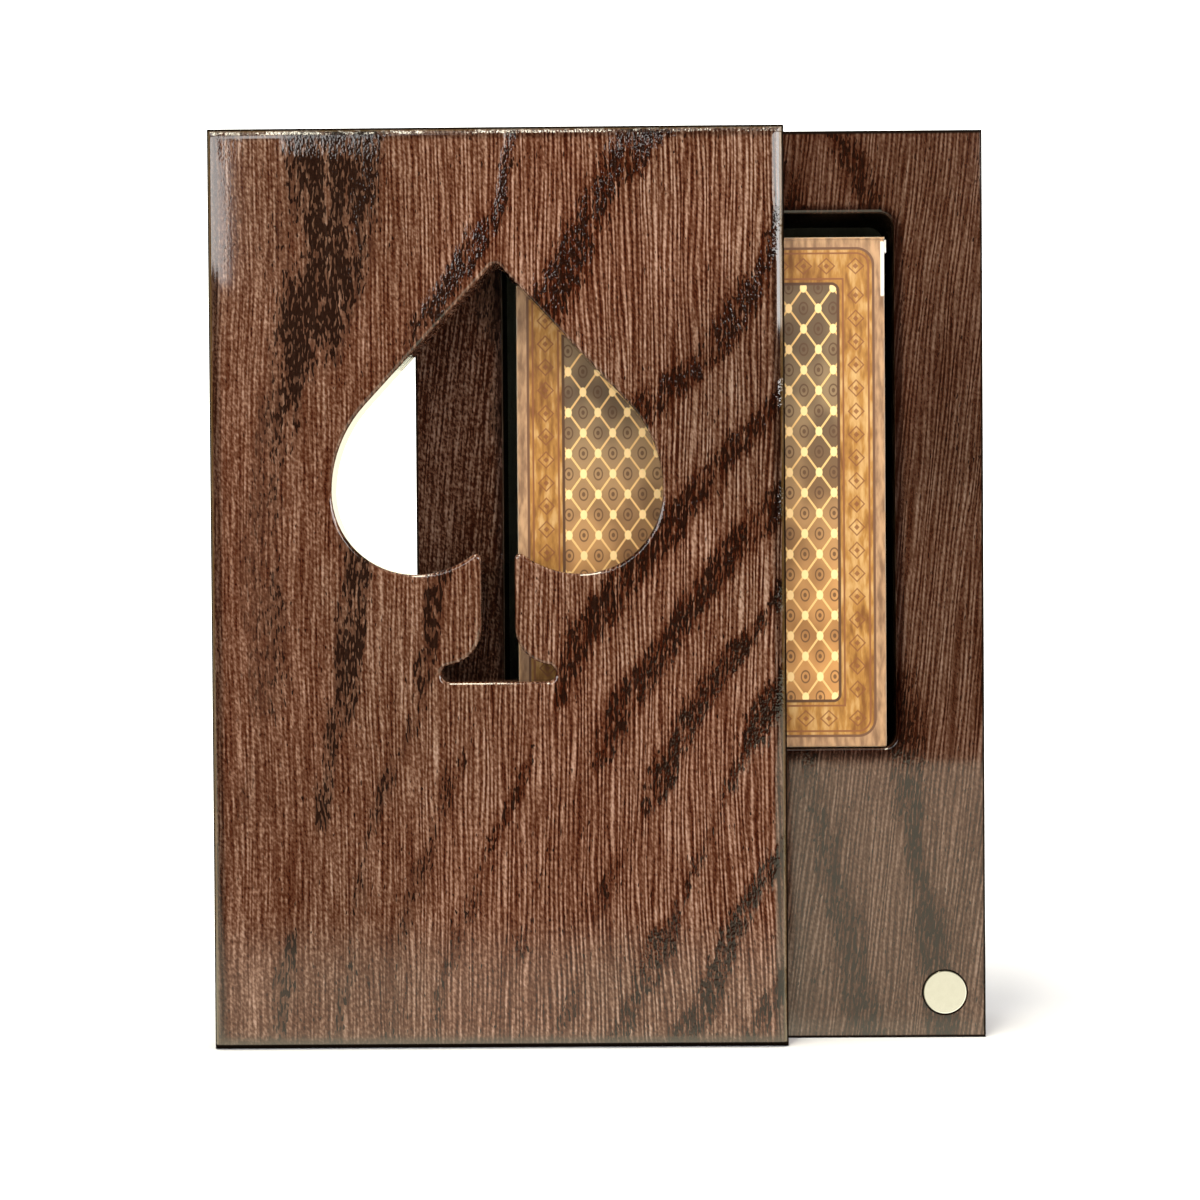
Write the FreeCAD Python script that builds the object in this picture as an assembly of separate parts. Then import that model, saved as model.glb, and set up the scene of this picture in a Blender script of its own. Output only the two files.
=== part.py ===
"""Playing card box: a thick oak tray block and an oak cover plate held to it by disc magnets.

The tray block has a milled pocket for a tuck case of playing cards. The cover plate has a
spade cut right through it and stands against the tray's front, slid to the tray's left.
Axes: +X to the right, +Y to the back, +Z up. Millimetres.
Origin: bottom centre of the whole object with the cover slid to the left.
"""
import FreeCAD, Part
import math
import os

from FreeCAD import Vector

# --- Cards, which the tuck case is made for --------------------------------------------
CARD_WIDTH = 63.0
CARD_HEIGHT = 88.0
CARD_THICKNESS = 0.29
CARD_CORNER = 3.5
CARD_COUNT = 54
CARD_SPACING = 0.01

# --- Tuck case, which the pocket is cut for --------------------------------------------
BOARD = 0.45
FOLD_GAP = 0.05              # between one layer of board and the next
FOLD_ROUND = 0.3             # outside of the carton's folds
CARD_SIDE_ROOM = 0.55        # between the cards and each side wall
CARD_END_ROOM = 0.65         # above and below the cards together
CARD_DEPTH_ROOM = 0.45       # in front of and behind the cards together
CASE_SIDE_OFFSET = 0.35      # the case sits a little right of the pocket's middle
CASE_BACK_GAP = 0.2          # between the case and the pocket's floor
CASE_SEAT_GAP = 0.03         # between the case and what it stands on
THUMB_NOTCH_RADIUS = 9.0
TONGUE_LENGTH = 17.0
TONGUE_CORNER = 6.0
TONGUE_SIDE_GAP = 1.0
DUST_FLAP_LENGTH = 19.0
DUST_FLAP_TAPER = 3.0
DUST_FLAP_SHOULDER = 0.35    # how far a folded dust flap stands out past the case's side
DUST_FLAP_SHOULDER_DROP = 2.2

# --- Tray block and cover plate --------------------------------------------------------
BOX_WIDTH = 100.0
BOX_HEIGHT = 160.0
TRAY_FLOOR = 6.4             # wood left behind the pocket
COVER_THICKNESS = 8.0
COVER_GAP = 0.1             # running clearance between the plate and the tray's front
COVER_SHIFT = 35.3          # how far the plate stands to the left of its closed place
OUTER_ROUND = 2.2           # soft edges round the plate's front and the tray's back
MATING_ROUND = 0.4          # eased edges where the two faces meet

# --- Pocket in the tray's front --------------------------------------------------------
POCKET_SIDE_ROOM = 2.1      # on each side of a centred case
POCKET_END_ROOM = 4.4       # finger room over the case
POCKET_DEPTH_ROOM = 1.0
POCKET_TOP_WALL = 14.4      # wood between the pocket and the top of the box
POCKET_CORNER = 2.8         # cutter radius left in the pocket's corners
POCKET_MOUTH_ROUND = 0.6

# --- Spade cut-out, measured down from the point where its shoulders would meet --------
SPADE_APEX_DEPTH = 23.3      # below the top of the box
SPADE_HALF_WIDTH = 28.7
SPADE_WIDEST_DROP = 39.8
SPADE_SHOULDER_ANGLE = 47.3  # degrees below level
SPADE_TIP_RADIUS = 1.1
SPADE_LOBE_RADIUS = 14.4     # outer lower quarter of each lobe
SPADE_INNER_RADIUS = 16.4    # from the lobe's lowest point in to the stem
SPADE_STEM_HALF = 2.95
SPADE_FLARE_RADIUS = 6.5
SPADE_FOOT_HALF = 9.95
SPADE_FOOT_DROP = 72.9
SPADE_FOOT_RADIUS = 1.5
SPADE_CUSP_RADIUS = 0.9
SPADE_EDGE_ROUND = 0.7

# --- Disc magnets, one pair low on the right and one pair high on the left -------------
MAGNET_DIAMETER = 8.0
MAGNET_THICKNESS = 3.0
MAGNET_CHAMFER = 0.25
MAGNET_SIDE_INSET = 7.2      # from the wooden edge at the side to the magnet's centre
MAGNET_END_INSET = 8.0       # from the top or bottom edge to the magnet's centre
MAGNET_BORE_CLEARANCE = 0.08
MAGNET_RECESS = 0.05         # below the wooden face
MAGNET_GLUE_GAP = 0.1        # behind the magnet

# --- Places worked out from the sizes above --------------------------------------------
CARD_PITCH = CARD_THICKNESS + CARD_SPACING
CASE_WIDTH = CARD_WIDTH + 2 * (BOARD + CARD_SIDE_ROOM)
CASE_HEIGHT = CARD_HEIGHT + 3 * BOARD + CARD_END_ROOM
CASE_DEPTH = CARD_COUNT * CARD_PITCH + 3 * BOARD + CARD_DEPTH_ROOM
POCKET_WIDTH = CASE_WIDTH + 2 * POCKET_SIDE_ROOM
POCKET_HEIGHT = CASE_HEIGHT + POCKET_END_ROOM
POCKET_DEPTH = CASE_DEPTH + POCKET_DEPTH_ROOM
TRAY_DEPTH = POCKET_DEPTH + TRAY_FLOOR
TOTAL_DEPTH = COVER_THICKNESS + COVER_GAP + TRAY_DEPTH
COVER_FRONT = -TOTAL_DEPTH / 2
COVER_BACK = COVER_FRONT + COVER_THICKNESS
TRAY_FRONT = COVER_BACK + COVER_GAP
TRAY_BACK = TRAY_FRONT + TRAY_DEPTH
TRAY_CENTRE = COVER_SHIFT / 2
COVER_CENTRE = -COVER_SHIFT / 2
POCKET_FLOOR = TRAY_FRONT + POCKET_DEPTH
POCKET_TOP = BOX_HEIGHT - POCKET_TOP_WALL
POCKET_BOTTOM = POCKET_TOP - POCKET_HEIGHT
SPADE_APEX_HEIGHT = BOX_HEIGHT - SPADE_APEX_DEPTH
MAGNET_OFFSET = BOX_WIDTH / 2 - MAGNET_SIDE_INSET
MAGNET_LOW = MAGNET_END_INSET
MAGNET_HIGH = BOX_HEIGHT - MAGNET_END_INSET
MAGNET_BORE_RADIUS = MAGNET_DIAMETER / 2 + MAGNET_BORE_CLEARANCE
MAGNET_BORE_DEPTH = MAGNET_THICKNESS + MAGNET_RECESS + MAGNET_GLUE_GAP
CASE_LEFT = TRAY_CENTRE + CASE_SIDE_OFFSET - CASE_WIDTH / 2
CASE_RIGHT = CASE_LEFT + CASE_WIDTH
CASE_BACK = POCKET_FLOOR - CASE_BACK_GAP
CASE_FRONT = CASE_BACK - CASE_DEPTH
CASE_SIDE_GAP = POCKET_SIDE_ROOM - abs(CASE_SIDE_OFFSET)
CORNER_BITE = max(POCKET_CORNER - CASE_SIDE_GAP, 0.0)   # how far in the round corner reaches
CASE_LIFT = POCKET_CORNER - math.sqrt(POCKET_CORNER ** 2 - CORNER_BITE ** 2)
CASE_BOTTOM = POCKET_BOTTOM + CASE_LIFT + CASE_SEAT_GAP
CASE_TOP = CASE_BOTTOM + CASE_HEIGHT
DUST_FLAP_TOP = CASE_TOP - BOARD - FOLD_GAP     # and where the front wall meets the lid
CASE_RIM = DUST_FLAP_TOP - BOARD - FOLD_GAP     # where the other walls end


def block(left, front, bottom, width, depth, height):
    """A plain box from its left, front, bottom corner."""
    return Part.makeBox(width, depth, height, Vector(left, front, bottom))


def edges_on_plane(shape, y, size=None):
    """The edges of a shape that lie wholly in the plane at depth y, inside a box if given."""
    found = []
    for edge in shape.Edges:
        box = edge.BoundBox
        if abs(box.YMin - y) > 1e-4 or abs(box.YMax - y) > 1e-4:
            continue
        if size and not (size.isInside(box)):
            continue
        found.append(edge)
    return found


def rounded_board(centre, front, depth, soft_face, mating_face):
    """A board of the box's outline, soft all round one face and just eased round the other."""
    board = block(centre - BOX_WIDTH / 2, front, 0, BOX_WIDTH, depth, BOX_HEIGHT)
    board = board.makeFillet(OUTER_ROUND, edges_on_plane(board, soft_face))
    return board.makeFillet(MATING_ROUND, edges_on_plane(board, mating_face))


def magnet_bore(centre_x, face, direction, centre_z):
    """A blind bore that starts at a wooden face and runs into the wood along +Y or -Y."""
    return Part.makeCylinder(MAGNET_BORE_RADIUS, MAGNET_BORE_DEPTH,
                             Vector(centre_x, face, centre_z), Vector(0, direction, 0))


def disc_magnet(centre_x, face, direction, centre_z):
    """A disc magnet with chamfered rims, glued just below a wooden face."""
    start = face + direction * MAGNET_RECESS
    disc = Part.makeCylinder(MAGNET_DIAMETER / 2, MAGNET_THICKNESS,
                             Vector(centre_x, start, centre_z), Vector(0, direction, 0))
    rims = [edge for edge in disc.Edges if isinstance(edge.Curve, Part.Circle)]
    return disc.makeChamfer(MAGNET_CHAMFER, rims)


def upright_prism(left, right, bottom, top, front, back, corner):
    """A prism along Y whose outline in XZ is a rectangle with rounded corners."""
    prism = block(left, front, bottom, right - left, back - front, top - bottom)
    lengthwise = [edge for edge in prism.Edges
                  if abs(edge.BoundBox.YLength - (back - front)) < 1e-4]
    return prism.makeFillet(corner, lengthwise)


def playing_card(left, right, bottom, top, front, back):
    """One card: each round corner is drawn as three short straight stretches."""
    steps = [math.radians(angle) for angle in (0, 30, 60, 90)]
    outline = []
    for turn, (x, z) in enumerate(((right, top), (left, top), (left, bottom), (right, bottom))):
        centre_x = x + CARD_CORNER * (1 if x == left else -1)
        centre_z = z + CARD_CORNER * (1 if z == bottom else -1)
        for step in steps:
            angle = step + turn * math.pi / 2
            outline.append(Vector(centre_x + CARD_CORNER * math.cos(angle), front,
                                  centre_z + CARD_CORNER * math.sin(angle)))
    face = Part.Face(Part.makePolygon(outline + outline[:1]))
    return face.extrude(Vector(0, back - front, 0))


# --- The tray --------------------------------------------------------------------------
def make_tray_block():
    """The thick block: a milled pocket for the case and two blind bores for magnets."""
    tray = rounded_board(TRAY_CENTRE, TRAY_FRONT, TRAY_DEPTH, TRAY_BACK, TRAY_FRONT)
    half = POCKET_WIDTH / 2
    pocket = upright_prism(TRAY_CENTRE - half, TRAY_CENTRE + half, POCKET_BOTTOM, POCKET_TOP,
                           TRAY_FRONT - POCKET_CORNER, POCKET_FLOOR, POCKET_CORNER)
    tray = tray.cut(pocket)
    margin = POCKET_MOUTH_ROUND / 2
    mouth = FreeCAD.BoundBox(TRAY_CENTRE - half - margin, TRAY_FRONT - margin,
                             POCKET_BOTTOM - margin, TRAY_CENTRE + half + margin,
                             TRAY_FRONT + margin, POCKET_TOP + margin)
    tray = tray.makeFillet(POCKET_MOUTH_ROUND, edges_on_plane(tray, TRAY_FRONT, mouth))
    for side, height in ((1, MAGNET_LOW), (-1, MAGNET_HIGH)):
        tray = tray.cut(magnet_bore(TRAY_CENTRE + side * MAGNET_OFFSET, TRAY_FRONT, 1, height))
    return tray


# --- The cover plate -------------------------------------------------------------------
def polar(centre, radius, degrees):
    """The point of a circle at an angle, in (x, z)."""
    angle = math.radians(degrees)
    return (centre[0] + radius * math.cos(angle), centre[1] + radius * math.sin(angle))


def spade_half():
    """Right half of the spade, from its tip down to its foot, as (kind, points) in (x, z).

    The apex where the two straight shoulders would meet is (0, 0). Every joint between two
    stretches is tangent, apart from the cusp between the lobe and the stem.
    """
    normal = 90.0 - SPADE_SHOULDER_ANGLE
    across, up = math.cos(math.radians(normal)), math.sin(math.radians(normal))
    shoulder_radius = ((SPADE_WIDEST_DROP * up - SPADE_HALF_WIDTH * across) / (1.0 - across))
    shoulder_centre = (SPADE_HALF_WIDTH - shoulder_radius, -SPADE_WIDEST_DROP)
    lobe_centre = (SPADE_HALF_WIDTH - SPADE_LOBE_RADIUS, -SPADE_WIDEST_DROP)
    inner_centre = (lobe_centre[0], lobe_centre[1] - SPADE_LOBE_RADIUS + SPADE_INNER_RADIUS)
    reach = inner_centre[0] - SPADE_STEM_HALF
    cusp_angle = 180.0 + math.degrees(math.acos(reach / SPADE_INNER_RADIUS))
    foot_centre = (SPADE_FOOT_HALF - SPADE_FOOT_RADIUS, SPADE_FOOT_RADIUS - SPADE_FOOT_DROP)
    flare_x = SPADE_STEM_HALF + SPADE_FLARE_RADIUS
    span = SPADE_FLARE_RADIUS + SPADE_FOOT_RADIUS
    flare_centre = (flare_x, foot_centre[1] + math.sqrt(span ** 2 - (flare_x - foot_centre[0]) ** 2))
    lean = math.degrees(math.atan2(flare_centre[1] - foot_centre[1], flare_x - foot_centre[0]))
    tip_centre = (0.0, -SPADE_TIP_RADIUS / up)

    def arc(centre, radius, start, end):
        return ("arc", [polar(centre, radius, start), polar(centre, radius, (start + end) / 2),
                        polar(centre, radius, end)])

    tip = arc(tip_centre, SPADE_TIP_RADIUS, 90.0, normal)
    shoulder = arc(shoulder_centre, shoulder_radius, normal, 0.0)
    lobe = arc(lobe_centre, SPADE_LOBE_RADIUS, 0.0, -90.0)
    inner = arc(inner_centre, SPADE_INNER_RADIUS, 270.0, cusp_angle)
    flare = arc(flare_centre, SPADE_FLARE_RADIUS, 180.0, 180.0 + lean)
    foot = arc(foot_centre, SPADE_FOOT_RADIUS, lean, -90.0)
    return [tip, ("line", [tip[1][-1], shoulder[1][0]]), shoulder, lobe, inner,
            ("line", [inner[1][-1], flare[1][0]]), flare, foot,
            ("line", [foot[1][-1], (0.0, -SPADE_FOOT_DROP)])]


def spade_face(y):
    """The whole spade as a face at depth y, its right half mirrored to its left."""
    edges = []
    for side in (1, -1):
        for kind, points in spade_half():
            at = [Vector(COVER_CENTRE + side * x, y, SPADE_APEX_HEIGHT + z) for x, z in points]
            if kind == "line":
                edges.append(Part.LineSegment(*at).toShape())
            else:
                edges.append(Part.Arc(*at).toShape())
    return Part.Face(Part.Wire(Part.__sortEdges__(edges)))


def spade_bounds():
    """The box that just holds the spade's edges in the plate's front face."""
    low = SPADE_APEX_HEIGHT - SPADE_FOOT_DROP
    return FreeCAD.BoundBox(COVER_CENTRE - SPADE_HALF_WIDTH - 1, COVER_FRONT - 1, low - 1,
                            COVER_CENTRE + SPADE_HALF_WIDTH + 1, COVER_FRONT + 1,
                            SPADE_APEX_HEIGHT + 1)


def cusp_edges(plate):
    """The two short through edges where the lobes meet the stem."""
    found = []
    for edge in plate.Edges:
        box = edge.BoundBox
        through = abs(box.YLength - COVER_THICKNESS) < 1e-3
        at_stem = abs(abs(box.XMin - COVER_CENTRE) - SPADE_STEM_HALF) < 1e-3
        if through and at_stem and edge.Vertexes[0].Z > SPADE_APEX_HEIGHT - SPADE_WIDEST_DROP \
                - SPADE_LOBE_RADIUS:
            found.append(edge)
    return found


def make_cover_plate():
    """The plate: the spade cut through it, its front edge eased, two blind bores behind."""
    plate = rounded_board(COVER_CENTRE, COVER_FRONT, COVER_THICKNESS, COVER_FRONT, COVER_BACK)
    past = SPADE_EDGE_ROUND
    cutter = spade_face(COVER_FRONT - past).extrude(Vector(0, COVER_THICKNESS + 2 * past, 0))
    plate = plate.cut(cutter)
    plate = plate.makeFillet(SPADE_CUSP_RADIUS, cusp_edges(plate))
    plate = plate.makeFillet(SPADE_EDGE_ROUND,
                             edges_on_plane(plate, COVER_FRONT, spade_bounds()))
    for side, height in ((1, MAGNET_LOW), (-1, MAGNET_HIGH)):
        plate = plate.cut(magnet_bore(COVER_CENTRE + side * MAGNET_OFFSET, COVER_BACK, -1, height))
    return plate


# --- The tuck case ---------------------------------------------------------------------
def make_case_carton():
    """The folded board carton: four walls and a bottom, with a thumb notch behind.

    The front wall runs up to the lid, which folds back from it over the two dust flaps.
    """
    carton = block(CASE_LEFT, CASE_FRONT, CASE_BOTTOM, CASE_WIDTH, CASE_DEPTH,
                   DUST_FLAP_TOP - CASE_BOTTOM)
    folds = [edge for edge in carton.Edges
             if edge.BoundBox.ZLength > BOARD or edge.BoundBox.ZMax < CASE_BOTTOM + BOARD]
    carton = carton.makeFillet(FOLD_ROUND, folds)
    carton = carton.cut(block(CASE_LEFT - 1, CASE_FRONT + BOARD, CASE_RIM, CASE_WIDTH + 2,
                              CASE_DEPTH, 2 * BOARD))
    hollow = block(CASE_LEFT + BOARD, CASE_FRONT + BOARD, CASE_BOTTOM + BOARD,
                   CASE_WIDTH - 2 * BOARD, CASE_DEPTH - 2 * BOARD, CASE_HEIGHT)
    notch = Part.makeCylinder(THUMB_NOTCH_RADIUS, 3 * BOARD,
                              Vector(CASE_LEFT + CASE_WIDTH / 2, CASE_BACK - 2 * BOARD, CASE_RIM),
                              Vector(0, 1, 0))
    return carton.cut(hollow).cut(notch)


def make_case_lid():
    """The top panel, folded back from the front wall, and its tongue inside the back wall."""
    panel = block(CASE_LEFT, CASE_FRONT, CASE_TOP - BOARD, CASE_WIDTH, CASE_DEPTH, BOARD)
    outer = [edge for edge in panel.Edges
             if edge.BoundBox.ZMin > CASE_TOP - BOARD / 2 and edge.BoundBox.XLength > BOARD]
    panel = panel.makeFillet(FOLD_ROUND, outer)
    inside = CASE_BACK - BOARD - FOLD_GAP
    left = CASE_LEFT + BOARD + TONGUE_SIDE_GAP
    right = CASE_RIGHT - BOARD - TONGUE_SIDE_GAP
    low = CASE_TOP - BOARD - TONGUE_LENGTH
    tongue = block(left, inside - BOARD, low, right - left, BOARD, TONGUE_LENGTH)
    lower_corners = [edge for edge in tongue.Edges
                     if abs(edge.BoundBox.YLength - BOARD) < 1e-4 and edge.BoundBox.ZMax < low + 1]
    tongue = tongue.makeFillet(TONGUE_CORNER, lower_corners)
    return panel.fuse(tongue).removeSplitter()


def make_dust_flap(side):
    """One side's dust flap, folded flat under the lid, with a short shoulder at its fold."""
    wall = CASE_LEFT + CASE_WIDTH / 2 + side * CASE_WIDTH / 2
    fold = wall + side * DUST_FLAP_SHOULDER
    tip = wall - side * DUST_FLAP_LENGTH
    front = CASE_FRONT + BOARD + FOLD_GAP
    back = CASE_BACK - 2 * BOARD - 2 * FOLD_GAP - BOARD
    low = DUST_FLAP_TOP - BOARD
    corners = [(fold, front), (wall, front), (tip, front + DUST_FLAP_TAPER),
               (tip, back - DUST_FLAP_TAPER), (wall, back), (fold, back)]
    points = [Vector(x, y, low) for x, y in corners]
    flap = Part.Face(Part.makePolygon(points + points[:1])).extrude(Vector(0, 0, BOARD))
    skirt = block(min(wall, fold), front, DUST_FLAP_TOP - DUST_FLAP_SHOULDER_DROP,
                  DUST_FLAP_SHOULDER, back - front, DUST_FLAP_SHOULDER_DROP)
    return flap.fuse(skirt).removeSplitter()


def make_card_deck():
    """The cards, each its own thin solid, stacked from the carton's front wall backwards."""
    centre = CASE_LEFT + CASE_WIDTH / 2
    low = CASE_BOTTOM + BOARD + FOLD_GAP
    front = CASE_FRONT + BOARD + FOLD_GAP
    card = playing_card(centre - CARD_WIDTH / 2, centre + CARD_WIDTH / 2, low,
                        low + CARD_HEIGHT, front, front + CARD_THICKNESS)
    cards = []
    for number in range(CARD_COUNT):
        copy = card.copy()
        copy.translate(Vector(0, number * CARD_PITCH, 0))
        cards.append(copy)
    return Part.makeCompound(cards)


def all_nodes():
    """Every named piece of the object."""
    tray_right = TRAY_CENTRE + MAGNET_OFFSET
    tray_left = TRAY_CENTRE - MAGNET_OFFSET
    cover_right = COVER_CENTRE + MAGNET_OFFSET
    cover_left = COVER_CENTRE - MAGNET_OFFSET
    return {
        "tray_block": make_tray_block(),
        "tray_magnet_lower": disc_magnet(tray_right, TRAY_FRONT, 1, MAGNET_LOW),
        "tray_magnet_upper": disc_magnet(tray_left, TRAY_FRONT, 1, MAGNET_HIGH),
        "cover_plate": make_cover_plate(),
        "cover_magnet_lower": disc_magnet(cover_right, COVER_BACK, -1, MAGNET_LOW),
        "cover_magnet_upper": disc_magnet(cover_left, COVER_BACK, -1, MAGNET_HIGH),
        "case_carton": make_case_carton(),
        "case_lid": make_case_lid(),
        "case_dust_flap_left": make_dust_flap(-1),
        "case_dust_flap_right": make_dust_flap(1),
        "card_deck": make_card_deck(),
    }


os.makedirs("parts", exist_ok=True)
for name, shape in all_nodes().items():
    shape.exportStep("parts/" + name + ".step")
    print(name, "valid" if shape.isValid() else "NOT VALID", len(shape.Solids),
          "solids", round(shape.Volume, 1), "mm3")
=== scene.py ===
"""Looks for the playing card box: varnished oak, nickel magnets and a printed tuck case."""
import math

import bpy
from mathutils import Matrix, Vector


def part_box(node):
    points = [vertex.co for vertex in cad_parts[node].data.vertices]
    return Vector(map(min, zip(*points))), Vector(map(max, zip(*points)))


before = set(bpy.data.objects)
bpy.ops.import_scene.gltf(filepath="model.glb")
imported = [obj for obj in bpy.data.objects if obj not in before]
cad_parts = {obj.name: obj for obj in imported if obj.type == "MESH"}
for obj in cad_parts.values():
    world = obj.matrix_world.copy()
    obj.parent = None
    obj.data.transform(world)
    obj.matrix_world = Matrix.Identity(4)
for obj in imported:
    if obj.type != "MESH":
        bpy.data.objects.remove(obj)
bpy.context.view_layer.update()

MM = 0.001


# --- Node maths written as expressions -------------------------------------------------
def plug(tree, item, socket):
    """Feeds a socket with a field, another socket, a colour or a number."""
    if isinstance(item, Field):
        item = item.value
    if isinstance(item, tuple):
        socket.default_value = (*item, 1.0)
    elif isinstance(item, (int, float)):
        socket.default_value = item
    else:
        tree.links.new(item, socket)


class Field:
    """A value that varies over a surface: an output socket, or a plain number."""

    def __init__(self, tree, value):
        self.tree = tree
        self.value = value

    def math(self, operation, *others):
        node = self.tree.nodes.new("ShaderNodeMath")
        node.operation = operation
        for socket, item in zip(node.inputs, (self,) + others):
            plug(self.tree, item, socket)
        return Field(self.tree, node.outputs[0])

    def __add__(self, other):
        return self.math("ADD", other)

    def __sub__(self, other):
        return self.math("SUBTRACT", other)

    def __rsub__(self, other):
        return Field(self.tree, other).math("SUBTRACT", self)

    def __mul__(self, other):
        return self.math("MULTIPLY", other)

    def __truediv__(self, other):
        return self.math("DIVIDE", other)

    def __neg__(self):
        return self * -1.0

    def abs(self):
        return self.math("ABSOLUTE")

    def fract(self):
        return self.math("FRACT")

    def sin(self):
        return self.math("SINE")

    def sqrt(self):
        return self.math("SQRT")

    def least(self, other):
        return self.math("MINIMUM", other)

    def most(self, other):
        return self.math("MAXIMUM", other)

    def ramp(self, low, high, to_low=0.0, to_high=1.0, smooth=True):
        """Maps low..high onto to_low..to_high, held flat outside."""
        node = self.tree.nodes.new("ShaderNodeMapRange")
        node.interpolation_type = "SMOOTHSTEP" if smooth else "LINEAR"
        for name, item in (("Value", self), ("From Min", low), ("From Max", high),
                           ("To Min", to_low), ("To Max", to_high)):
            plug(self.tree, item, node.inputs[name])
        return Field(self.tree, node.outputs["Result"])


class Shader:
    """A material under construction, with its surface coordinates in millimetres."""

    def __init__(self, name):
        self.material = bpy.data.materials.new(name)
        self.material.use_nodes = True
        self.tree = self.material.node_tree
        self.tree.nodes.clear()
        self.output = self.tree.nodes.new("ShaderNodeOutputMaterial")
        coordinates = self.tree.nodes.new("ShaderNodeTexCoord")
        split = self.tree.nodes.new("ShaderNodeSeparateXYZ")
        self.tree.links.new(coordinates.outputs["Object"], split.inputs[0])
        self.x, self.y, self.z = (Field(self.tree, socket) * (1 / MM) for socket in split.outputs)

    def vector(self, x, y, z):
        node = self.tree.nodes.new("ShaderNodeCombineXYZ")
        for socket, item in zip(node.inputs, (x, y, z)):
            plug(self.tree, item, socket)
        return node.outputs[0]

    def noise(self, x, y, z, detail=2.0, roughness=0.5, seed=0.0):
        """Noise between about 0.2 and 0.8 whose features are about 1 across."""
        node = self.tree.nodes.new("ShaderNodeTexNoise")
        node.noise_dimensions = "4D"
        for name, item in (("Vector", self.vector(x, y, z)), ("Scale", 1.0), ("Detail", detail),
                           ("Roughness", roughness), ("W", seed)):
            plug(self.tree, item, node.inputs[name])
        return Field(self.tree, node.outputs["Fac"])

    def colours(self, field, stops):
        """A colour ramp along a field, from (place, (r, g, b)) stops."""
        node = self.tree.nodes.new("ShaderNodeValToRGB")
        ramp = node.color_ramp
        while len(ramp.elements) < len(stops):
            ramp.elements.new(0.5)
        for element, (place, colour) in zip(ramp.elements, stops):
            element.position = place
            element.color = (*colour, 1.0)
        plug(self.tree, field, node.inputs["Fac"])
        return node.outputs["Color"]

    def mix(self, factor, first, second, blend="MIX"):
        """first where factor is 0, second where it is 1."""
        node = self.tree.nodes.new("ShaderNodeMix")
        node.data_type = "RGBA"
        node.blend_type = blend
        for name, item in (("Factor_Float", factor), ("A_Color", first), ("B_Color", second)):
            socket = next(s for s in node.inputs if s.identifier == name)
            plug(self.tree, item, socket)
        return next(s for s in node.outputs if s.identifier == "Result_Color")

    def tinted(self, factor, colour, tone_and_painted_shade):
        """A colour, multiplied by a tint where factor is 1."""
        return self.mix(factor, colour, tone_and_painted_shade, "MULTIPLY")

    def bump(self, height, distance):
        """A normal for a height that runs from 0 to 1 over a distance in millimetres."""
        node = self.tree.nodes.new("ShaderNodeBump")
        for name, item in (("Strength", 1.0), ("Distance", distance * MM), ("Height", height)):
            plug(self.tree, item, node.inputs[name])
        return node.outputs["Normal"]

    def principled(self, **sockets):
        """Ends the material with a Principled BSDF whose sockets are given by name."""
        node = self.tree.nodes.new("ShaderNodeBsdfPrincipled")
        for name, item in sockets.items():
            plug(self.tree, item, node.inputs[name.replace("_", " ")])
        self.tree.links.new(node.outputs[0], self.output.inputs["Surface"])
        return self.material


def srgb(*values):
    """A colour as it is seen, 0 to 255, turned into linear values."""
    return tuple(v / 255 / 12.92 if v < 10.3 else ((v / 255 + 0.055) / 1.055) ** 2.4
                 for v in values)


def from_middle(s, low, high):
    """Places across and up from the middle of a box, and the box's half sizes, in mm."""
    a = s.x - (low[0] + high[0]) / 2 / MM
    b = s.z - (low[2] + high[2]) / 2 / MM
    return a, b, (high[0] - low[0]) / 2 / MM, (high[2] - low[2]) / 2 / MM


def rounded_rectangle(a, b, half_a, half_b, corner):
    """Signed distance to a rectangle with rounded corners, negative inside."""
    over_a = (a.abs() - (half_a - corner)).most(0.0)
    over_b = (b.abs() - (half_b - corner)).most(0.0)
    inside = (a.abs() - (half_a - corner)).most(b.abs() - (half_b - corner)).least(0.0)
    return (over_a * over_a + over_b * over_b).sqrt() + inside - corner


def patch(field, middle, core, reach):
    """1 within core of the middle, fading to 0 at reach."""
    return 1.0 - (field - middle).abs().ramp(core, reach)


def repeated(place, pitch):
    """How far a place is from the middle of its cell, where cells repeat at a pitch."""
    return ((place / pitch).fract() - 0.5) * pitch


# --- The camera ------------------------------------------------------------------------
FOCAL_PIXELS = 2300.0
FRAME_PIXELS = 1200.0
CAMERA_PLACE = (3.49 * MM, -414.52 * MM, 84.10 * MM)
CAMERA_PITCH, CAMERA_YAW, CAMERA_ROLL = 0.0156, 0.0087, 0.0072

camera_data = bpy.data.cameras.new("camera")
camera_data.sensor_fit = "HORIZONTAL"
camera_data.sensor_width = 36.0
camera_data.lens = FOCAL_PIXELS / FRAME_PIXELS * camera_data.sensor_width
camera_data.clip_start = 0.01
camera = bpy.data.objects.new("camera", camera_data)
camera.matrix_world = (Matrix.Translation(CAMERA_PLACE) @ Matrix.Rotation(CAMERA_YAW, 4, "Z")
                       @ Matrix.Rotation(math.pi / 2 - CAMERA_PITCH, 4, "X")
                       @ Matrix.Rotation(-CAMERA_ROLL, 4, "Z"))
bpy.context.scene.collection.objects.link(camera)
bpy.context.scene.camera = camera


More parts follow.
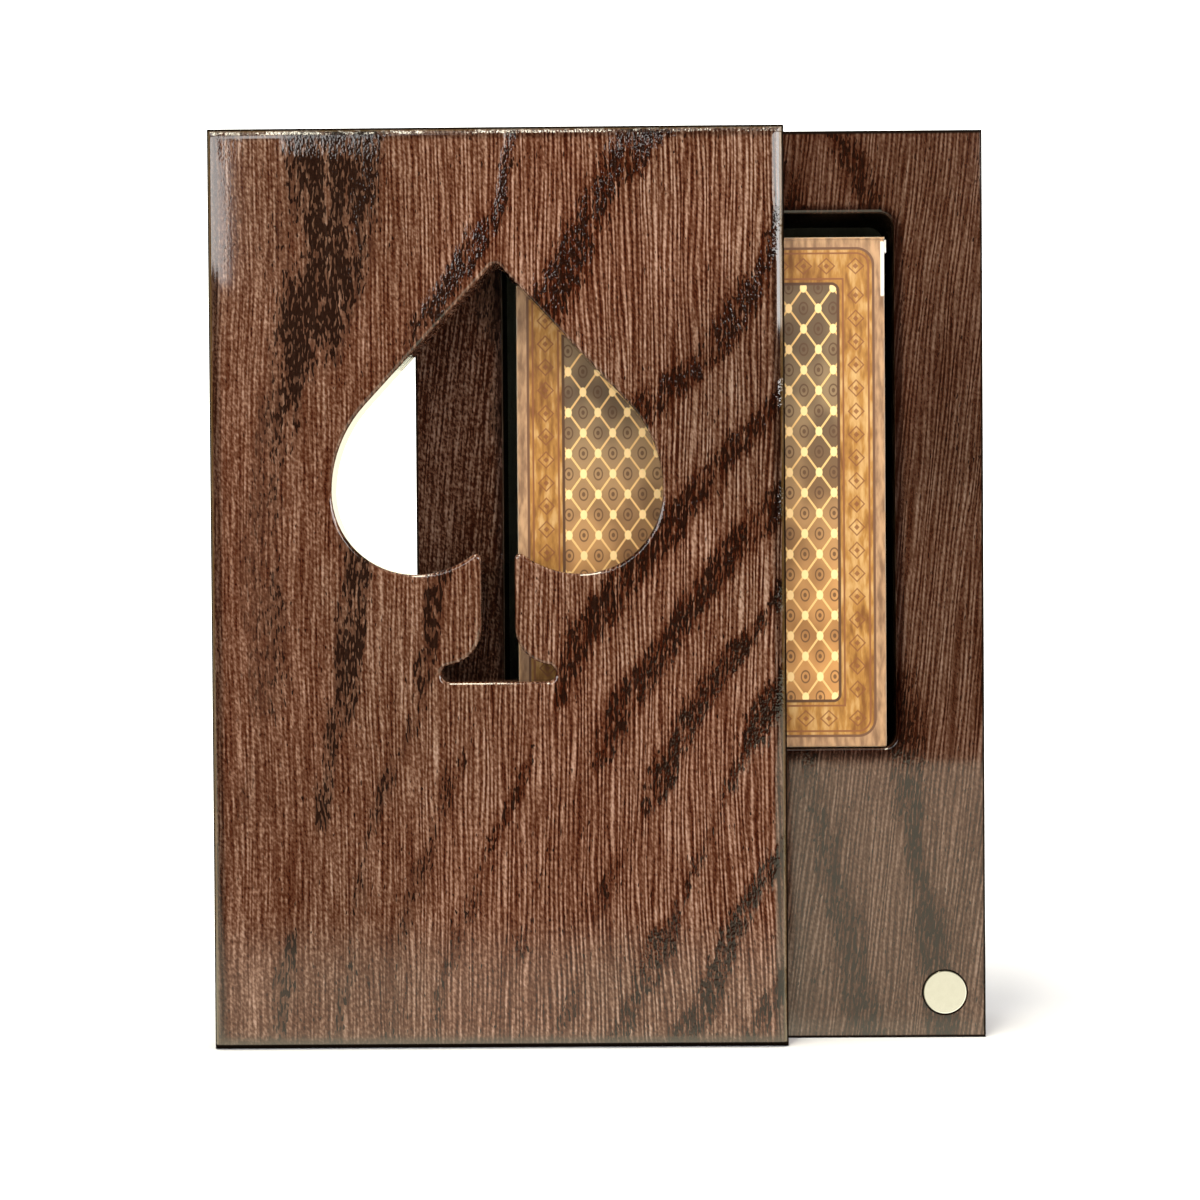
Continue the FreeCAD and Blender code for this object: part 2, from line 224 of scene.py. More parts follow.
# --- Stained, varnished oak ------------------------------------------------------------
# Places on a board are in millimetres: x from the middle of its width, z from its foot.
LEAN_LEFT, LEAN_RIGHT = -30.0, 45.0      # the bands' lean changes between these
LOWER_PART, UPPER_PART = 60.0, 120.0     # below and above these it has other amounts
UNMOVED = 85.0                           # height at which the lean moves no band
BAND_WANDER, BAND_RAGGEDNESS = 14.0, 5.0
SWIRL_HEIGHT, SWIRL_REACH = 122.0, 38.0
TOP_SHIFT = 12.0                         # of the bands on the left, at the top
DUSKY_HEIGHT = 112.0                     # of a darker patch on the right
STREAKS = ((-28.0, 5.0, 12.0), (-9.0, 4.0, 9.0))   # middle, core and reach of wider bands
BAND_WIDENING, BAND_THINNING = 0.09, 0.07
DUSK = 0.216
PORE_ROW_PITCH = 0.82
POCKET_HALF_WIDTH, POCKET_HALF_HEIGHT, POCKET_DEPTH = 34.6, 47.2, 19.0
POCKET_MIDDLE = 98.4
MOUTH_OFFSET, MOUTH_CORNER = 0.4, 4.0    # crest of the pocket's mouth, beyond its walls

STAIN = [(0.0, srgb(48, 18, 7)), (0.26, srgb(70, 39, 25)), (0.50, srgb(94, 65, 51)),
         (0.74, srgb(131, 104, 90)), (1.0, srgb(163, 139, 128))]
REDDER = (1.04, 0.95, 0.93)
BAND_SHEEN_COLOUR = srgb(84, 68, 58)
PORE_COLOUR = srgb(22, 9, 5)
FOOT_REFLECTION_COLOUR = srgb(66, 54, 44)
ARRIS_VARNISH_AND_HIGHLIGHT_COLOUR = srgb(96, 76, 42)
OUTLINE_SHADE_COLOUR = srgb(18, 12, 8)
ROUNDING_SHADE_TINT = (0.1, 0.1, 0.1)
MOUTH_SHADE_TINT = (0.16, 0.10, 0.10)
POCKET_SHADE_TINT = (0.2, 0.24, 0.2)
POCKET_FLOOR_COLOUR = srgb(96, 98, 84)
VARNISH_TINT = (1.0, 0.95, 0.86)


class Oak(Shader):
    """The shader of one board, which also knows the board's size and its front edge."""

    def __init__(self, name, node, edge_radius, seed):
        super().__init__(name)
        low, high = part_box(node)
        self.x = self.x - (low[0] + high[0]) / 2 / MM
        self.half_width = (high[0] - low[0]) / 2 / MM
        self.depth = self.y - low[1] / MM
        self.top = high[2] / MM
        self.edge_radius = edge_radius
        self.near_front = patch(self.depth, 0.0, edge_radius * 0.9, edge_radius * 1.1)
        self.seed = seed

    def pattern(self, across, scale, variation, detail=1.0, roughness=0.5):
        """Noise of the board's own, whose features are 1 / scale long in each direction."""
        scale_x, scale_y, scale_z = scale
        return self.noise(across * scale_x, self.y * scale_y, self.z * scale_z, detail,
                          roughness, self.seed + variation)


def growth_bands(s, lean, bend, low_lean, band_pitch, band_start, swirl):
    """Fields: 1 in the middle of each growth band, 1 where bands are scarce, 1 where dusky."""
    x, y, z = s.x, s.y, s.z
    upper, middle = bend
    fall = ((z - UPPER_PART).most(0.0) * upper
            + (z.most(LOWER_PART).least(UPPER_PART) - UNMOVED) * middle)
    low_fall = (z - LOWER_PART).least(0.0)
    # where the lean brings the bands together they are narrower
    steepening = (lean[1] - lean[0]) / (LEAN_RIGHT - LEAN_LEFT)
    narrow = (1.0 - (fall * steepening).most(0.0) * x.ramp(-30.0, -10.0)).most(0.4)
    wander = s.pattern(x, (0.045, 0.03, 0.022), 8.3, detail=2.0) - 0.5
    ragged = s.pattern(x, (1.2, 0.8, 0.12), 3.1, detail=2.0) - 0.5
    # left of the middle they shift to the right: in the swirl at the side, and at the top
    shift = (patch(z, SWIRL_HEIGHT, 0.0, SWIRL_REACH) * x.ramp(-30.0, 0.0, swirl, 0.0)
             + z.ramp(110.0, 155.0, 0.0, TOP_SHIFT))
    place = (x.most(0.0) + (x - shift).least(0.0) * 0.94 + y * 0.35
             - x.ramp(LEAN_LEFT, LEAN_RIGHT, *lean, smooth=False) * fall
             - x.ramp(-45.0, 0.0, *low_lean, smooth=False) * low_fall
             + (wander * BAND_WANDER + ragged * BAND_RAGGEDNESS) * narrow)
    level = (place - band_start) / band_pitch
    # their width changes from place to place
    scarce = (1.0 - z.ramp(20.0, 75.0)) * (1.0 - x.ramp(0.0, 40.0)) * x.ramp(-36.0, -26.0)
    slender = (z.ramp(95.0, 140.0) * 0.8 - 0.2) * (1.0 - x.ramp(-25.0, -5.0)) + 1.0
    dusky = x.ramp(20.0, 38.0) * patch(z, DUSKY_HEIGHT, 8.0, 28.0)
    left_streak, middle_streak = (patch(x, *streak) for streak in STREAKS)
    streaks = left_streak.most(middle_streak) * z.ramp(30.0, 60.0)
    presence = (s.pattern(x, (0.05, 0.03, 0.03), 12.9) + x.ramp(-40.0, 30.0, -0.05, 0.055)
                + (dusky + streaks) * BAND_WIDENING - scarce * BAND_THINNING)
    reach = presence.ramp(0.38, 0.60, 0.10, 0.34) * narrow * slender
    band = 1.0 - ((level.fract() - 0.5).abs() / reach).ramp(0.3, 1.0)
    return band * reach.ramp(0.08, 0.15), scarce, dusky


def grain_tone(s, across, contrast):
    """Ridges and furrows of the pore rows, thin dark lines and fine cross texture, 0 to 1."""
    x, z = s.x, s.z
    bow = s.pattern(across, (0.35, 0.3, 0.028), 9.0, detail=2.0)
    comb = ((across / PORE_ROW_PITCH + bow * 4.0) * (2 * math.pi)).sin() * 0.5
    breaks = s.pattern(across, (1.3, 1.2, 0.16), 1.0, detail=2.0)
    rows = s.pattern(across, (2.5, 2.2, 0.10), 1.5, roughness=0.6)
    lines = 1.0 - s.pattern(across, (2.2, 2.0, 0.07), 2.5).ramp(0.34, 0.43)
    short = s.pattern(across + z * 0.25, (2.4, 2.4, 1.5), 2.0)
    broad = s.pattern(across, (0.14, 0.12, 0.012), 5.0, detail=2.0)
    raked = x.ramp(-42.0, 20.0, 0.20, 0.56)
    grain = (comb * raked * breaks.ramp(0.3, 0.6, 0.5, 1.4) + (rows - 0.5)
             + (short - 0.5) * 1.2 - lines * 0.12)
    return grain * x.ramp(-40.0, 10.0, *contrast) + (broad - 0.5) * 0.35 + 0.47


def stained_colour(s, tone, dense, pores, tone_and_painted_shade, dusky):
    """The stain's colour: browner in the bands and almost black in the open pores, with painted
    shade on the tray's left and a painted sheen greying the bands on the left.
    """
    x = s.x
    wood = s.colours(tone.ramp(0.04, 0.96, smooth=False), STAIN)
    hue = s.pattern(x, (0.03, 0.03, 0.02), 7.0)
    wood = s.tinted(hue.ramp(0.35, 0.65), wood, REDDER)
    # darker to the left: the wood's own tone, and on the tray also painted shade where the cover
    # shades it; darker still in the dusky patch
    shade = x.ramp(-50.0, 10.0, *tone_and_painted_shade) * (1.0 - dusky * DUSK)
    wood = s.tinted(1.0, wood, s.vector(shade, shade, shade))
    # painted sheen: the bands on the left are greyed towards a pale brown that stands for glints
    # in the varnish
    wood = s.mix(dense * x.ramp(-25.0, 0.0, 0.4, 0.0), wood, BAND_SHEEN_COLOUR)
    return s.mix(pores * x.ramp(-44.0, -36.0, 0.5, 0.92), wood, PORE_COLOUR)


def outlined(s, wood):
    """The wood with painted shade on the front rounding, a painted floor reflection on the foot,
    amber varnish on the arris painted lighter, and a painted dark outline of shade, with the dark
    outline's field.
    """
    radius, near_front = s.edge_radius, s.near_front
    to_top = s.top - s.z
    to_side = (s.half_width - s.x.abs()).least(to_top)
    rounding = (1.0 - to_side.ramp(radius * 0.77, radius * 1.23)) * near_front
    foot = (1.0 - s.z.ramp(radius * 0.5, radius * 1.4)) * near_front
    arris = (1.0 - to_side.ramp(radius * 0.32, radius * 0.43)) * near_front
    # the outline reaches under the foot as a painted contact shadow
    nearest = to_side.least(to_top * 0.6).least(s.z - radius * 0.27)
    outline = (1.0 - nearest.ramp(0.26, 0.50)) * near_front
    # painted shade: the front rounding is darkened so that its reflections show more than the
    # wood
    wood = s.tinted(rounding * 0.62, wood, ROUNDING_SHADE_TINT)
    # painted reflection: the foot is greyed as if it mirrored the pale floor
    wood = s.mix(foot * 0.7, wood, FOOT_REFLECTION_COLOUR)
    # amber varnish built up on the arris, painted lighter olive as if light shone through it:
    # partly its own colour, partly a painted highlight
    wood = s.mix(arris * 0.45, wood, ARRIS_VARNISH_AND_HIGHLIGHT_COLOUR)
    # painted shade: a near-black line where the edges turn from the light and under the foot
    return s.mix(outline, wood, OUTLINE_SHADE_COLOUR), outline


def with_pocket(s, wood):
    """The wood with painted shade on the walls of its pocket and on its mouth, and a field of
    less varnish.
    """
    a, b, depth = s.x, s.z - POCKET_MIDDLE, s.depth
    half_a, half_b = POCKET_HALF_WIDTH + MOUTH_OFFSET, POCKET_HALF_HEIGHT + MOUTH_OFFSET
    within = ((1.0 - (a.abs() - half_a).most(b.abs() - half_b).ramp(0.0, 0.3))
              * (1.0 - depth.ramp(POCKET_DEPTH + 1.0, POCKET_DEPTH + 2.0)))
    walls = depth.ramp(0.3, 1.6) * within
    floor = depth.ramp(POCKET_DEPTH - 1.5, POCKET_DEPTH - 0.5) * within
    mouth = rounded_rectangle(a, b, half_a, half_b, MOUTH_CORNER)
    widening = b.ramp(-POCKET_HALF_HEIGHT - 1.2, -POCKET_HALF_HEIGHT + 1.8, 0.6, 1.0)
    lip = (1.0 - (mouth * widening).ramp(0.2, 1.7)) * s.near_front
    on_right = a.ramp(POCKET_HALF_WIDTH - 0.6, POCKET_HALF_WIDTH - 0.1)
    right_lip = on_right * (1.0 - mouth.ramp(0.2, 0.4))
    # painted shade along the pocket's mouth
    wood = s.tinted(lip * 0.8, wood, MOUTH_SHADE_TINT)
    # painted shade on the pocket's walls
    wood = s.tinted(walls, wood, POCKET_SHADE_TINT)
    return s.mix(floor, wood, POCKET_FLOOR_COLOUR), (walls * 0.8).most(right_lip)


def varnish_surface(s, across, dense, glints):
    """The varnish's normal, with dips over the pores, and a field of dull sawn end grain."""
    x, z, top, radius = s.x, s.z, s.top, s.edge_radius
    ends = z.ramp(top - radius * 0.72, top - radius * 0.62) * s.near_front
    shown = (x.ramp(-35.0, 0.0, 0.04, 1.0) + z.ramp(top - 6.5, top - 2.5, 0.0, 0.8)) * glints
    dips = s.pattern(across, (2.6, 2.2, 1.7), 4.0)
    normal = s.bump(dips * (dense * shown + ends * 2.0), 0.05)
    clusters = s.pattern(x, (0.12, 0.1, 0.1), 4.8) - 0.5
    sparkle = s.pattern(x, (0.9, 1.5, 1.5), 4.4, detail=2.0) + clusters * 0.8
    return normal, ends * (1.0 - sparkle.ramp(0.46, 0.54))


def stained_oak(name, node, edge_radius, seed, lean, bend, low_lean, band_pitch, band_start,
                swirl, grain_lean, tone_and_painted_shade, contrast, crowding, glints, has_pocket=False):
    """Dark oak: pore rows along Z, and dark growth bands that cross them.

    edge_radius   rounding round the board's front face
    seed          picks the random pattern
    lean          the bands' run per rise, at the left and at the right
    bend          scales that lean in the upper and in the middle part of the board
    low_lean      the bands' run per rise in the lower part, at the left and in the middle
    band_pitch    distance between bands
    band_start    where one band begins
    swirl         how far the bands swing out on the left
    grain_lean    the pore rows' own run per rise
    tone_and_painted_shade  brightness at the left and right of the middle; on the tray it is also
    painted shade where the cover shades its left
    contrast      of the grain, at the left and right of the middle
    crowding      how strong the bands are along the left side and beyond it
    glints        how far the varnish dips over the bands' pores
    """
    s = Oak(name, node, edge_radius, seed)
    x, z = s.x, s.z
    drift = s.pattern(x, (0.02, 0.02, 0.012), 0.0) * 7.0
    across = x + drift - z * grain_lean
    band, scarce, dusky = growth_bands(s, lean, bend, low_lean, band_pitch, band_start, swirl)
    # short open pores that crowd together in the bands
    crowd = s.pattern(across, (0.5, 0.4, 0.13), 6.6, detail=2.0)
    dense = (band * crowd.ramp(0.3, 0.55, 0.35, 1.0) * x.ramp(-42.0, -34.0, *crowding)
             * (1.0 - scarce * 0.6))
    if has_pocket:
        beside_pocket = x.ramp(31.0, 34.0) * z.ramp(60.0, 75.0)
        dense = dense * (1.0 - beside_pocket * 0.9)
    strokes = s.pattern(across, (2.7, 2.4, 0.65), 6.0)
    pores = (strokes + dense * x.ramp(-30.0, 0.0, 0.29, 0.25)).ramp(0.67, 0.73)
    tone = grain_tone(s, across, contrast) - dense * x.ramp(-30.0, 0.0, 0.15, 0.30)
    wood = stained_colour(s, tone, dense, pores, tone_and_painted_shade, dusky)
    wood, outline = outlined(s, wood)
    varnish = 1.0 - outline
    if has_pocket:
        wood, bare = with_pocket(s, wood)
        varnish = varnish * (1.0 - bare)
    coat_normal, dull = varnish_surface(s, across, dense, glints)
    return s.principled(Base_Color=wood, Normal=s.bump(tone * 0.7 - pores * 0.4, 0.16),
                        Roughness=0.42, Specular_IOR_Level=0.0,
                        Coat_Weight=varnish * (1.0 - dull * 0.9), Coat_Normal=coat_normal,
                        Coat_Roughness=0.04, Coat_IOR=1.55, Coat_Tint=VARNISH_TINT)


# --- Nickel magnets --------------------------------------------------------------------
PLATE = [(0.0, (0.57, 0.545, 0.52)), (1.0, (0.60, 0.575, 0.55))]
RIM_HIGHLIGHT_AND_SHADE = [(0.0, (0.16, 0.15, 0.12)), (0.5, (0.42, 0.40, 0.38)), (1.0, (0.95, 0.95, 0.95))]
MAGNET_EDGE_SHADE = (0.03, 0.028, 0.02)


def nickel(name, low, high):
    """Satin nickel plate with faint scuffs, and painted light on the rim: a painted highlight low
    on the right, painted shade at the top left and a painted shade ring at the edge.
    """
    s = Shader(name)
    a, b, radius, _ = from_middle(s, low, high)
    out = (a * a + b * b).sqrt()
    scuffs = s.noise(s.x * 0.8, s.y * 0.8, s.z * 0.8, detail=3.0, seed=2.0)
    plate = s.colours(scuffs.ramp(0.3, 0.7), PLATE)
    # painted light on the rim: a painted highlight low on the right and painted shade at the top
    # left
    lit_and_shaded_rim = s.colours(((a - b) / radius).ramp(-1.2, 1.2), RIM_HIGHLIGHT_AND_SHADE)
    colour = s.mix(out.ramp(radius - 0.42, radius - 0.30), plate, lit_and_shaded_rim)
    # painted shade: a dark ring where the magnet meets its bore
    colour = s.mix(out.ramp(radius - 0.14, radius - 0.04), colour, MAGNET_EDGE_SHADE)
    return s.principled(Base_Color=colour, Metallic=1.0,
                        Roughness=scuffs.ramp(0.3, 0.7, 0.12, 0.18))


# --- The tuck case ---------------------------------------------------------------------
TAN_EDGE, BAND_WIDTH = 2.0, 6.2          # plain border, and the amber band inside it
LATTICE_PITCH, LATTICE_SLANT = 5.2, 0.72
LOZENGES_ACROSS, LOZENGES_UP = 12, 18
PRINT_BLUR = 0.06                        # half the soft width of a printed edge
RUBBED_WIDTH = 0.7                       # of the bare strips

TAN = [(0.0, srgb(120, 88, 62)), (1.0, srgb(182, 144, 106))]
AMBER = [(0.0, srgb(112, 66, 14)), (0.5, srgb(164, 116, 51)), (1.0, srgb(198, 160, 104))]
LOW_BROWN = [(0.0, srgb(150, 104, 56)), (1.0, srgb(196, 142, 82))]
HIGH_BROWN = [(0.0, srgb(98, 78, 56)), (1.0, srgb(140, 116, 84))]
DEEP_BROWN = srgb(84, 54, 32)
LATTICE_COLOUR, DOT_COLOUR = srgb(226, 182, 116), srgb(244, 208, 146)
LOZENGE_COLOUR, RAIL_COLOUR = srgb(122, 72, 36), srgb(128, 78, 42)
BAND_EDGE_COLOUR = srgb(104, 70, 48)
WORN_COLOUR, BARE_BOARD_COLOUR = srgb(214, 200, 176), srgb(232, 226, 212)


def line(distance, width):
    """1 on a line of the given width along distance 0, with a soft edge."""
    return 1.0 - distance.abs().ramp(width / 2 - PRINT_BLUR, width / 2 + PRINT_BLUR)


def lattice_art(s, a, b, ground):
    """Two sets of slanted lines, with a dot at each crossing and a rosette in each cell."""
    to_u = repeated(a + b * LATTICE_SLANT, LATTICE_PITCH)
    to_v = repeated(a - b * LATTICE_SLANT, LATTICE_PITCH)
    lattice = line(to_u, 0.42).most(line(to_v, 0.42))
    dots = 1.0 - (to_u * to_u + to_v * to_v).sqrt().ramp(0.75, 0.95)
    cell_u, cell_v = LATTICE_PITCH / 2 - to_u.abs(), LATTICE_PITCH / 2 - to_v.abs()
    rosette = (cell_u * cell_u + cell_v * cell_v).sqrt()
    petals = line(rosette - 1.05, 0.3).most(1.0 - rosette.ramp(0.35, 0.5))
    art = s.mix(lattice, ground, LATTICE_COLOUR)
    art = s.mix(dots, art, DOT_COLOUR)
    return s.mix(petals * 0.8, art, DEEP_BROWN)


def lozenge_chain(s, a, b, panel_a, panel_b):
    """1 on a chain of lozenges along the band round the panel, with one in each corner."""
    half_band = BAND_WIDTH / 2
    off_side, off_end = a.abs() - (panel_a + half_band), b.abs() - (panel_b + half_band)
    on_side, on_end = (off.ramp(-half_band - 0.05, -half_band + 0.05)
                       for off in (off_side, off_end))
    along_end = s.mix(on_side, repeated(a, 2 * panel_a / LOZENGES_ACROSS), off_side)
    along = Field(s.tree, s.mix(on_end, repeated(b, 2 * panel_b / LOZENGES_UP), along_end))
    off = Field(s.tree, s.mix(on_end, off_side, off_end))
    lozenge = along.abs() * 0.95 + off.abs()
    return line(lozenge - 1.35, 0.34).most(1.0 - lozenge.ramp(0.42, 0.58))


def with_wear(s, a, b, half_a, half_b, fibres, colour):
    """The print with white board along the folds and bare strips beside the lid's fold."""
    to_edge = (half_a - a.abs()).least(half_b - b.abs())
    worn = 1.0 - (to_edge + (fibres - 0.5) * 0.5).ramp(0.02, 0.16)
    colour = s.mix(worn * 0.55, colour, WORN_COLOUR)
    strip = 1.0 - to_edge.ramp(RUBBED_WIDTH - 0.08, RUBBED_WIDTH + 0.08)
    # they reach further down on the right
    lowest = a.ramp(-1.0, 1.0, half_b - 8.4, half_b - 10.6)
    height = (b - lowest).ramp(0.0, 0.4) * (1.0 - b.ramp(half_b - 0.9, half_b - 0.8))
    return s.mix(strip * height, colour, BARE_BOARD_COLOUR)


def printed_board(name, low, high):
    """A generic card-back print: a tan edge, an amber band of lozenges, a brown lattice."""
    s = Shader(name)
    a, b, half_a, half_b = from_middle(s, low, high)
    panel_a, panel_b = half_a - TAN_EDGE - BAND_WIDTH, half_b - TAN_EDGE - BAND_WIDTH
    band = rounded_rectangle(a, b, half_a - TAN_EDGE, half_b - TAN_EDGE, 3.0)
    panel = rounded_rectangle(a, b, panel_a, panel_b, 1.2)
    fibres = s.noise(a * 0.9, s.y * 0.9, b * 0.25, detail=3.0, seed=1.0)
    ink = s.noise(a * 0.12, s.y * 0.1, b * 0.09, detail=2.0, seed=4.0)
    tan = s.colours(fibres.ramp(0.3, 0.7), TAN)
    amber = s.colours((fibres * 0.6 + ink * 0.4).ramp(0.32, 0.68), AMBER)
    low_brown, high_brown = (s.colours(ink.ramp(0.35, 0.65), stops)
                             for stops in (LOW_BROWN, HIGH_BROWN))
    brown = s.mix(b.ramp(-30.0, 20.0), low_brown, high_brown)
    chain = lozenge_chain(s, a, b, panel_a, panel_b)
    rails = line((band + BAND_WIDTH / 2).abs() - 2.25, 0.32)
    framed = s.mix(chain * 0.85, amber, LOZENGE_COLOUR)
    framed = s.mix(rails, framed, RAIL_COLOUR)
    colour = s.mix(panel.ramp(-PRINT_BLUR, PRINT_BLUR), lattice_art(s, a, b, brown), framed)
    colour = s.mix(line(panel, 0.5), colour, DEEP_BROWN)
    colour = s.mix(band.ramp(-PRINT_BLUR, PRINT_BLUR), colour, tan)
    colour = s.mix(line(band, 0.45), colour, BAND_EDGE_COLOUR)
    colour = with_wear(s, a, b, half_a, half_b, fibres, colour)
    grain = s.noise(s.x * 5.0, s.y * 5.0, s.z * 5.0, detail=2.0, seed=9.0)
    return s.principled(Base_Color=colour, Normal=s.bump(grain, 0.012), Roughness=0.38,
                        Specular_IOR_Level=0.45)


def plain_board(name, light, dark, scale):
    """Uncoated board or paper: faint fibres and a matt face."""
    s = Shader(name)
    fibres = s.noise(s.x * scale, s.y * scale, s.z * scale * 0.6, detail=4.0, seed=3.0)
    colour = s.colours(fibres.ramp(0.3, 0.7), [(0.0, dark), (1.0, light)])
    return s.principled(Base_Color=colour, Normal=s.bump(fibres, 0.02), Roughness=0.75,
                        Specular_IOR_Level=0.3)


# --- Each piece gets its material ------------------------------------------------------
def dress(node, material):
    """Gives a CAD node another material."""
    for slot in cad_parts[node].material_slots:
        slot.material = material


dress("cover_plate", stained_oak(
    "oak_cover", "cover_plate", edge_radius=2.2, seed=11.0, lean=(0.0, 0.78), bend=(0.45, 1.2),
    low_lean=(0.15, 0.62), band_pitch=16.0, band_start=-22.5, swirl=6.0, grain_lean=0.0,
    tone_and_painted_shade=(0.83, 0.90), contrast=(0.90, 0.80), crowding=(0.4, 1.0), glints=1.7))
dress("tray_block", stained_oak(
    "oak_tray", "tray_block", edge_radius=0.4, seed=37.0, lean=(-0.1, -0.2), bend=(3.0, 0.5),
    low_lean=(-0.12, -0.12), band_pitch=16.0, band_start=6.2, swirl=0.0, grain_lean=0.11,
    tone_and_painted_shade=(0.31, 0.55), contrast=(1.25, 0.58), crowding=(0.8, 0.8), glints=0.12,
    has_pocket=True))
for magnet in ("tray_magnet_lower", "tray_magnet_upper",
               "cover_magnet_lower", "cover_magnet_upper"):
    dress(magnet, nickel("nickel_" + magnet, *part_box(magnet)))
print_low, print_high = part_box("case_carton")
lid_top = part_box("case_lid")[1][2]
board = printed_board("printed_case", print_low, (print_high[0], print_high[1], lid_top))
dress("case_carton", board)
dress("case_lid", board)
white = plain_board("white_board_inside", srgb(240, 238, 232), srgb(222, 218, 208), 2.0)
dress("case_dust_flap_left", white)
dress("case_dust_flap_right", white)
dress("card_deck", plain_board("card_paper", srgb(244, 243, 240), srgb(232, 230, 225), 3.0))


# --- Floor and backdrop ----------------------------------------------------------------
PAPER_COLOUR = (0.70, 0.705, 0.725)
PAINTED_REFLECTION_COLOUR = (1.0, 0.98, 0.74)


def sweep_mesh():
    """A pale floor that curves up into a backdrop behind the object."""
    front, back, radius, half_width, top = -1.6, 0.30, 0.35, 1.6, 1.5
    steps = 16
    profile = [(front, 0.0), (-0.4, 0.0), (0.0, 0.0), (back, 0.0)]
    for number in range(1, steps + 1):
        angle = math.pi / 2 * number / steps
        profile.append((back + radius * math.sin(angle), radius * (1 - math.cos(angle))))
    profile.append((back + radius, top))
    vertices = [(side * half_width, y, z) for y, z in profile for side in (-1, 1)]
    faces = [(2 * n, 2 * n + 1, 2 * n + 3, 2 * n + 2) for n in range(len(profile) - 1)]
    mesh = bpy.data.meshes.new("sweep")
    mesh.from_pydata(vertices, [], faces)
    for face in mesh.polygons:
        face.use_smooth = True
    return mesh


def painted_reflection_strength(s):
    """The strength of a glow on the paper that only varnish and metal see: a painted reflection
    of lit paper.

    The glowing part ends a little in front of the object on the left, and further out on the
    right. It is brightest close to the object, and dim behind it except straight behind.
    """
    ahead = -s.y - 12.0
    near = 1.0 - ahead.ramp(60.0, 165.0)
    close = 1.0 - ahead.ramp(2.0, 30.0)
    right = (s.x - 34.0 - ahead * 0.0727).ramp(-1.0, 1.0)
    far = 1.0 - ahead.ramp(548.0, 568.0)
    behind = 1.0 - ahead.ramp(-60.0, -20.0)
    straight = (1.0 - s.x.abs().ramp(60.0, 140.0)) * s.y.ramp(200.0, 300.0)
    glowing = (near * (close + 1.1)).most(right * far * 1.5)
    return glowing * (1.0 - behind * (1.0 - straight) * 0.7) + 0.02


def sweep_material():
    """White paper: it keeps shadows and the camera sees it as white; glossy surfaces see a
    painted reflection glow in its place.
    """
    s = Shader("white_paper")
    path = s.tree.nodes.new("ShaderNodeLightPath")
    diffuse = s.tree.nodes.new("ShaderNodeBsdfDiffuse")
    plug(s.tree, PAPER_COLOUR, diffuse.inputs["Color"])
    # painted reflection: the paper glows for glossy rays only, brighter where lit paper would be
    glow = s.tree.nodes.new("ShaderNodeEmission")
    plug(s.tree, PAINTED_REFLECTION_COLOUR, glow.inputs["Color"])
    plug(s.tree, painted_reflection_strength(s), glow.inputs["Strength"])
    paper = s.tree.nodes.new("ShaderNodeMixShader")
    for socket, item in zip(paper.inputs, (path.outputs["Is Glossy Ray"], diffuse.outputs[0],
                                           glow.outputs[0])):
        plug(s.tree, item, socket)
    # the camera sees the paper a little lighter, and plain white further out
    lift = s.tree.nodes.new("ShaderNodeEmission")
    away = (s.x * s.x + s.y * s.y).sqrt()
    camera_ray = Field(s.tree, path.outputs["Is Camera Ray"])
    plug(s.tree, camera_ray * (away.ramp(70.0, 240.0) * 0.9 + 0.03), lift.inputs["Strength"])
    whole = s.tree.nodes.new("ShaderNodeAddShader")
    plug(s.tree, paper.outputs[0], whole.inputs[0])
    plug(s.tree, lift.outputs[0], whole.inputs[1])
    plug(s.tree, whole.outputs[0], s.output.inputs["Surface"])
    return s.material


sweep = bpy.data.objects.new("sweep", sweep_mesh())
sweep.data.materials.append(sweep_material())
bpy.context.scene.collection.objects.link(sweep)


# --- Lights ----------------------------------------------------------------------------
SOFTBOX_DISTANCE = 1.1
NEUTRAL, WARM = (1.0, 0.99, 0.97), (1.0, 0.98, 0.95)
SKY_MIRRORED, SKY_LIGHT = 0.012, 0.145


def panel_light(name, place, size, radiance, colour):
    """A rectangular light whose face points down."""
    data = bpy.data.lights.new(name, "AREA")
    data.shape = "RECTANGLE"
    data.size, data.size_y = size
    data.energy = radiance * math.pi * size[0] * size[1]
    data.color = colour
    light = bpy.data.objects.new(name, data)
    light.location = place
    bpy.context.scene.collection.objects.link(light)
    return light


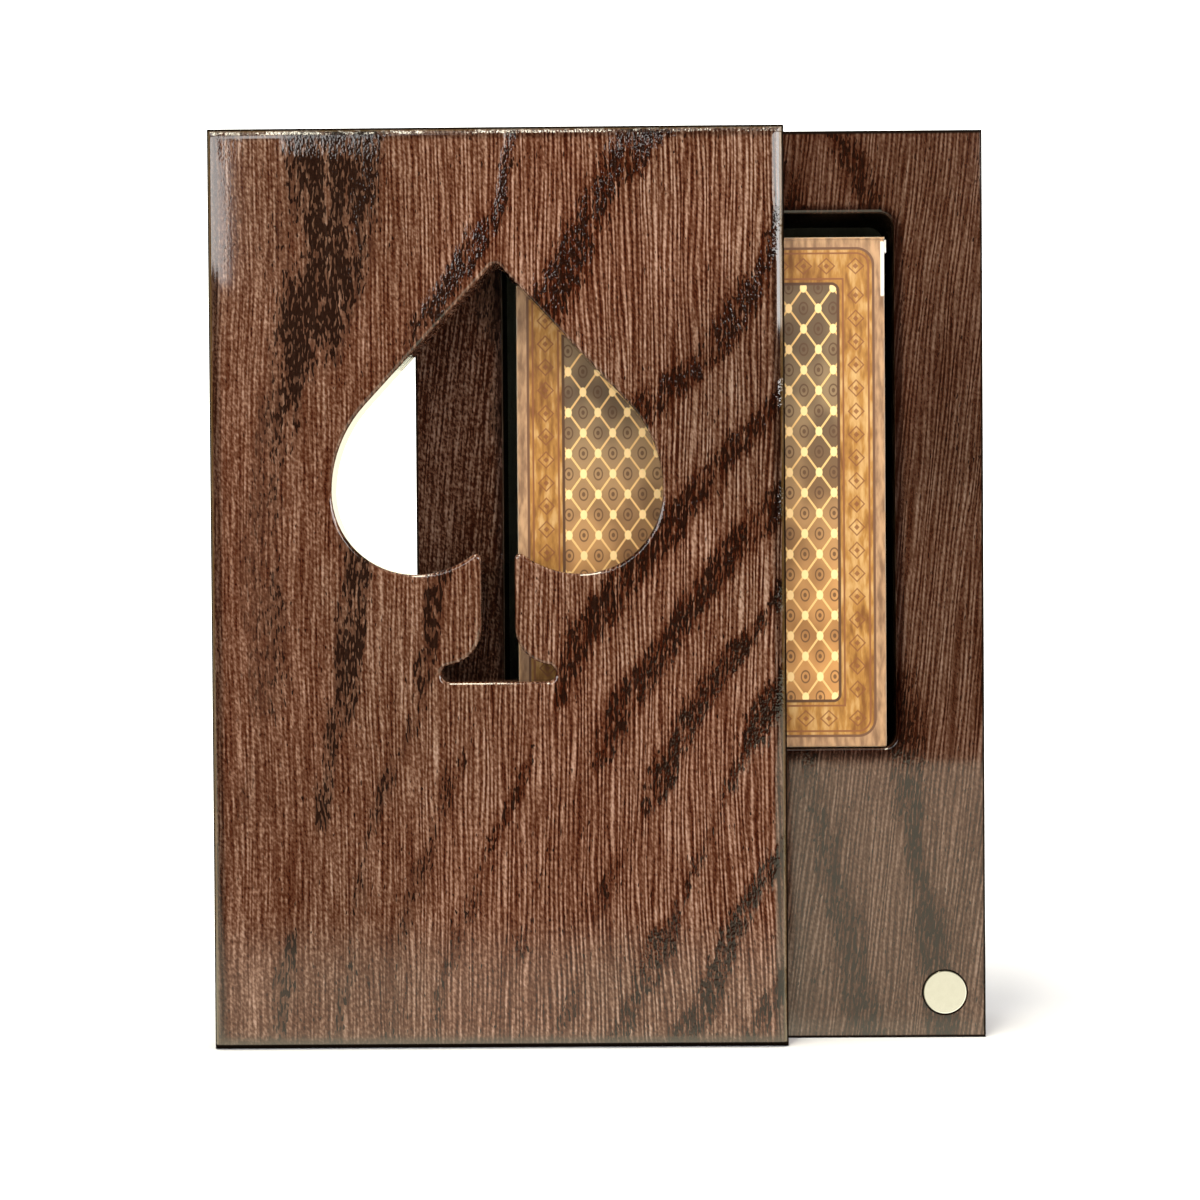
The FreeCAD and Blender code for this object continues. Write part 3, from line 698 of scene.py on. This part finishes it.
def softbox(name, left, right, low, high, radiance, colour):
    """An upright light that spans two azimuths and two heights (mm) around the object.

    Azimuth 0 is straight in front, and + is to the right.
    """
    half = math.radians(right - left) / 2
    turn = math.radians(left + right) / 2
    place = (SOFTBOX_DISTANCE * math.sin(turn), -SOFTBOX_DISTANCE * math.cos(turn),
             (low + high) / 2 * MM)
    size = (2 * SOFTBOX_DISTANCE * math.tan(half), (high - low) * MM)
    light = panel_light(name, place, size, radiance, colour)
    light.rotation_euler = (math.pi / 2, 0.0, turn)


def studio_world():
    """A world that the camera sees as white, and that lights the object dimly."""
    world = bpy.data.worlds.new("studio")
    world.use_nodes = True
    tree = world.node_tree
    tree.nodes.clear()
    sky = tree.nodes.new("ShaderNodeBackground")
    output = tree.nodes.new("ShaderNodeOutputWorld")
    path = tree.nodes.new("ShaderNodeLightPath")
    camera_ray = Field(tree, path.outputs["Is Camera Ray"])
    seen = camera_ray.most(path.outputs["Is Transmission Ray"])
    glossy = Field(tree, path.outputs["Is Glossy Ray"])
    unseen = glossy * SKY_MIRRORED + (1.0 - glossy) * SKY_LIGHT
    plug(tree, (1.0, 1.0, 1.0), sky.inputs["Color"])
    plug(tree, seen + (1.0 - seen) * unseen, sky.inputs["Strength"])
    plug(tree, sky.outputs[0], output.inputs["Surface"])
    return world


softbox("left_front", -50.0, -12.55, 270.0, 620.0, 6.2, NEUTRAL)
softbox("left_side", -88.0, -50.0, 270.0, 620.0, 6.4, WARM)
softbox("right_front", 12.7, 50.0, 320.0, 640.0, 7.2, WARM)
softbox("right_side", 50.0, 78.0, 235.0, 600.0, 11.0, WARM)
softbox("right_back", 78.0, 106.0, 235.0, 620.0, 6.0, (1.0, 0.93, 0.82))
softbox("left_high", -20.0, -9.6, 620.0, 1300.0, 6.0, NEUTRAL)
panel_light("top_strip", (-0.17, -0.40, 1.1), (0.20, 0.70), 26.0, (1.0, 0.94, 0.74))
panel_light("top_broad", (0.05, 0.06, 1.1), (0.9, 0.9), 1.4, (1.0, 0.97, 0.90))

bpy.context.scene.world = studio_world()
bpy.context.scene.view_settings.view_transform = "Standard"
